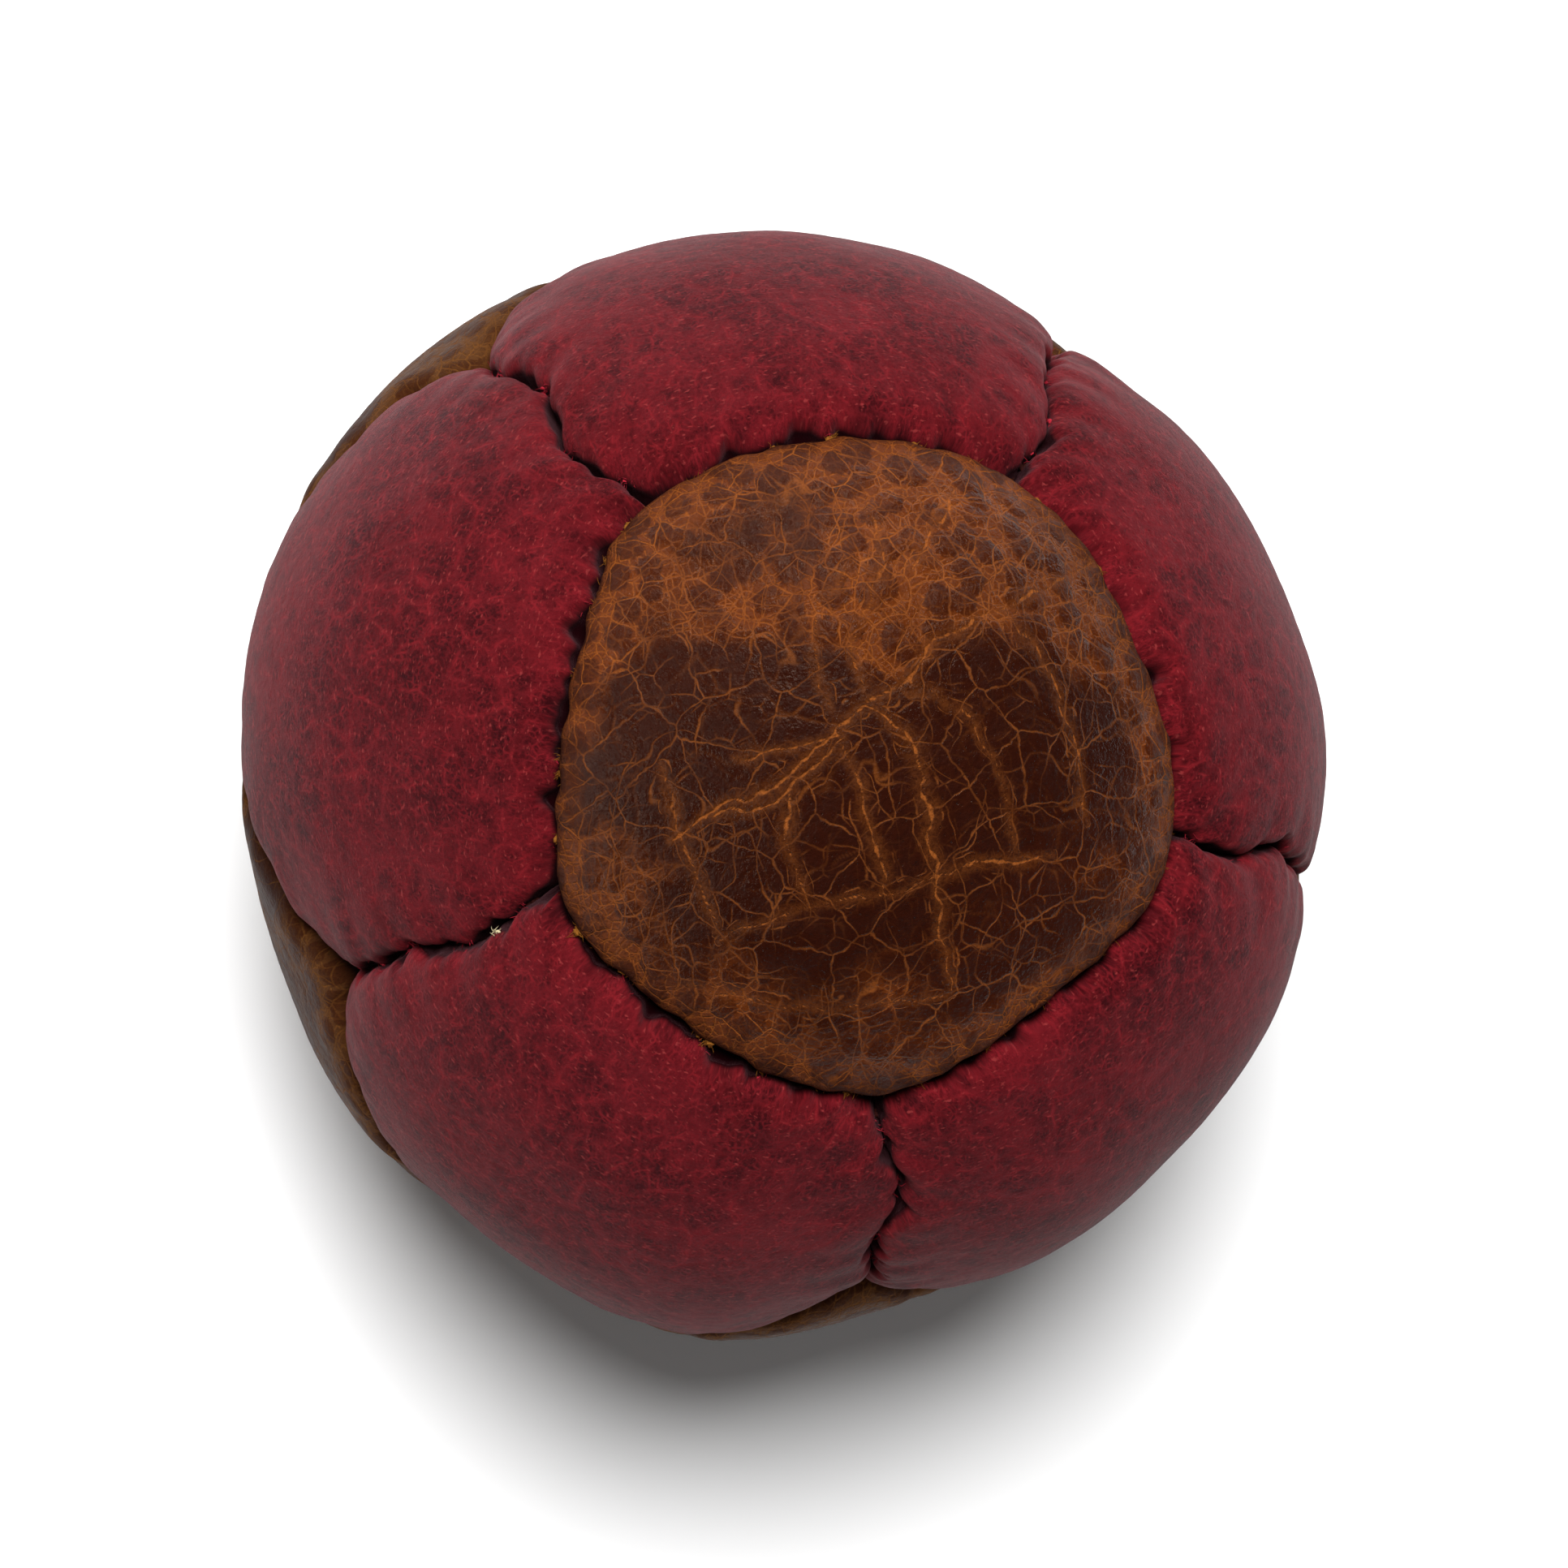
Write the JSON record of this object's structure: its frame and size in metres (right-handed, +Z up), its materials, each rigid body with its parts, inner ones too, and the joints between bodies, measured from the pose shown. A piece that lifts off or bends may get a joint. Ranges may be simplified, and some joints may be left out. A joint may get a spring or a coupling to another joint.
{
  "type": "hand medicine ball",
  "caption": "Soft round leather ball, hand-stitched from five-sided brown and crimson panels over a cloth liner of seed, made to be squeezed, thrown and caught in one hand.",
  "frame": {"origin": "on the resting face, under the middle of the ball", "axes": "+Z up through the middle of the brown crown panel; +X under the middle of the first crimson petal"},
  "size_m": [0.0666, 0.066, 0.0671],
  "materials": {
    "brown_leather": "pull-up leather, dark brown with orange-brown creases, satin",
    "crimson_leather": "matt crimson leather with a fine grain and dark blotches",
    "waxed_thread": "dark waxed linen thread",
    "cotton_cloth": "unbleached plain-weave cotton",
    "seed": "small round seed, satin"
  },
  "bodies": {
    "root": {"brown_crown_panel": "brown_leather", "crimson_petal_1": "crimson_leather", "crimson_petal_2": "crimson_leather", "crimson_petal_3": "crimson_leather", "crimson_petal_4": "crimson_leather", "crimson_petal_5": "crimson_leather", "brown_petal_1": "brown_leather", "brown_petal_2": "brown_leather", "brown_petal_3": "brown_leather", "brown_petal_4": "brown_leather", "brown_petal_5": "brown_leather", "crimson_base_panel": "crimson_leather", "crown_seam_thread_1": "waxed_thread", "crown_seam_thread_2": "waxed_thread", "crown_seam_thread_3": "waxed_thread", "crown_seam_thread_4": "waxed_thread", "crown_seam_thread_5": "waxed_thread", "crimson_seam_thread_1": "waxed_thread", "crimson_seam_thread_2": "waxed_thread", "crimson_seam_thread_3": "waxed_thread", "crimson_seam_thread_4": "waxed_thread", "crimson_seam_thread_5": "waxed_thread", "belt_seam_thread_1": "waxed_thread", "belt_seam_thread_2": "waxed_thread", "belt_seam_thread_3": "waxed_thread", "belt_seam_thread_4": "waxed_thread", "belt_seam_thread_5": "waxed_thread", "belt_seam_thread_6": "waxed_thread", "belt_seam_thread_7": "waxed_thread", "belt_seam_thread_8": "waxed_thread", "belt_seam_thread_9": "waxed_thread", "belt_seam_thread_10": "waxed_thread", "brown_seam_thread_1": "waxed_thread", "brown_seam_thread_2": "waxed_thread", "brown_seam_thread_3": "waxed_thread", "brown_seam_thread_4": "waxed_thread", "brown_seam_thread_5": "waxed_thread", "base_seam_thread_1": "waxed_thread", "base_seam_thread_2": "waxed_thread", "base_seam_thread_3": "waxed_thread", "base_seam_thread_4": "waxed_thread", "base_seam_thread_5": "waxed_thread", "inner_liner": "cotton_cloth", "seed_filling": "seed"}
  },
  "joints": []
}
